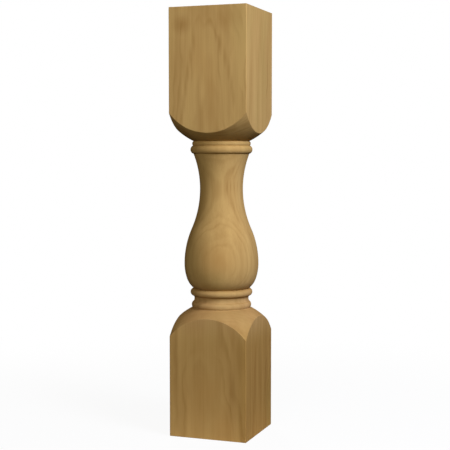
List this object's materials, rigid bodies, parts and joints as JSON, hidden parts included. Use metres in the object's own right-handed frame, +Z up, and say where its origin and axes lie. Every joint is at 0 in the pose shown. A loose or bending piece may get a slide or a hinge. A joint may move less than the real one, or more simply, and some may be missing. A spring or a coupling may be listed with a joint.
{
  "type": "table leg",
  "caption": "Solid wood table leg, square at the foot and top, turned between them with a bulb, a slender neck, beads and domed shoulders.",
  "frame": {"origin": "centre of the foot's underside", "axes": "+Z up the leg's axis, -Y and +X out of the two block faces that the picture shows"},
  "size_m": [0.1396, 0.1396, 0.7366],
  "materials": {
    "wood": "bare sanded softwood, honey coloured, with soft straight and arched grain"
  },
  "bodies": {
    "root": {"turned_leg": "wood"}
  },
  "joints": []
}
